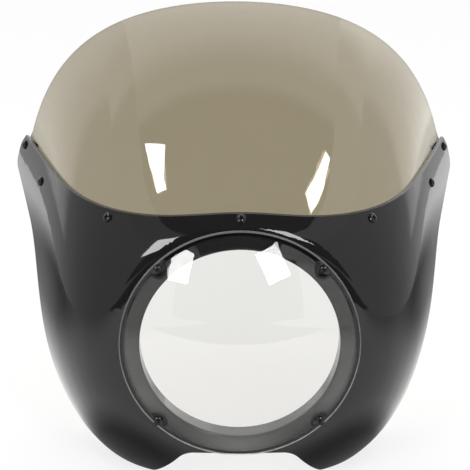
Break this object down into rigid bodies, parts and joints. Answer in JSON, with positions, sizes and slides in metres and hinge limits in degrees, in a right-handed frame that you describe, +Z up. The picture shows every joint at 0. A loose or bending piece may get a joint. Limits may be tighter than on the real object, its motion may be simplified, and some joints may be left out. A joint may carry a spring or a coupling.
{
  "type": "headlight cowl",
  "caption": "Headlight cowl for a cafe-racer motorbike: glossy black shell with side wings and lower legs, a smoked windscreen and a clear domed lens over a round lamp opening.",
  "frame": {"origin": "centre of the round lamp opening, in the plane of the lens seat", "axes": "+X to the right seen from the front, +Y towards the rider, +Z up; the front of the cowl faces -Y"},
  "size_m": [0.4496, 0.3165, 0.4074],
  "materials": {
    "shell_plastic": "polished black",
    "smoked_plastic": "clear brown-grey smoke",
    "clear_plastic": "clear polished",
    "black_steel": "black coated",
    "soft_washer": "matte black"
  },
  "bodies": {
    "root": {"cowl_shell": "shell_plastic", "windscreen": "smoked_plastic", "headlamp_lens": "clear_plastic", "windscreen_screws": "black_steel", "windscreen_spacers": "soft_washer", "windscreen_washers": "soft_washer", "windscreen_nuts": "black_steel", "lens_screws": "black_steel", "lens_washers": "soft_washer", "lens_nuts": "black_steel"}
  },
  "joints": []
}
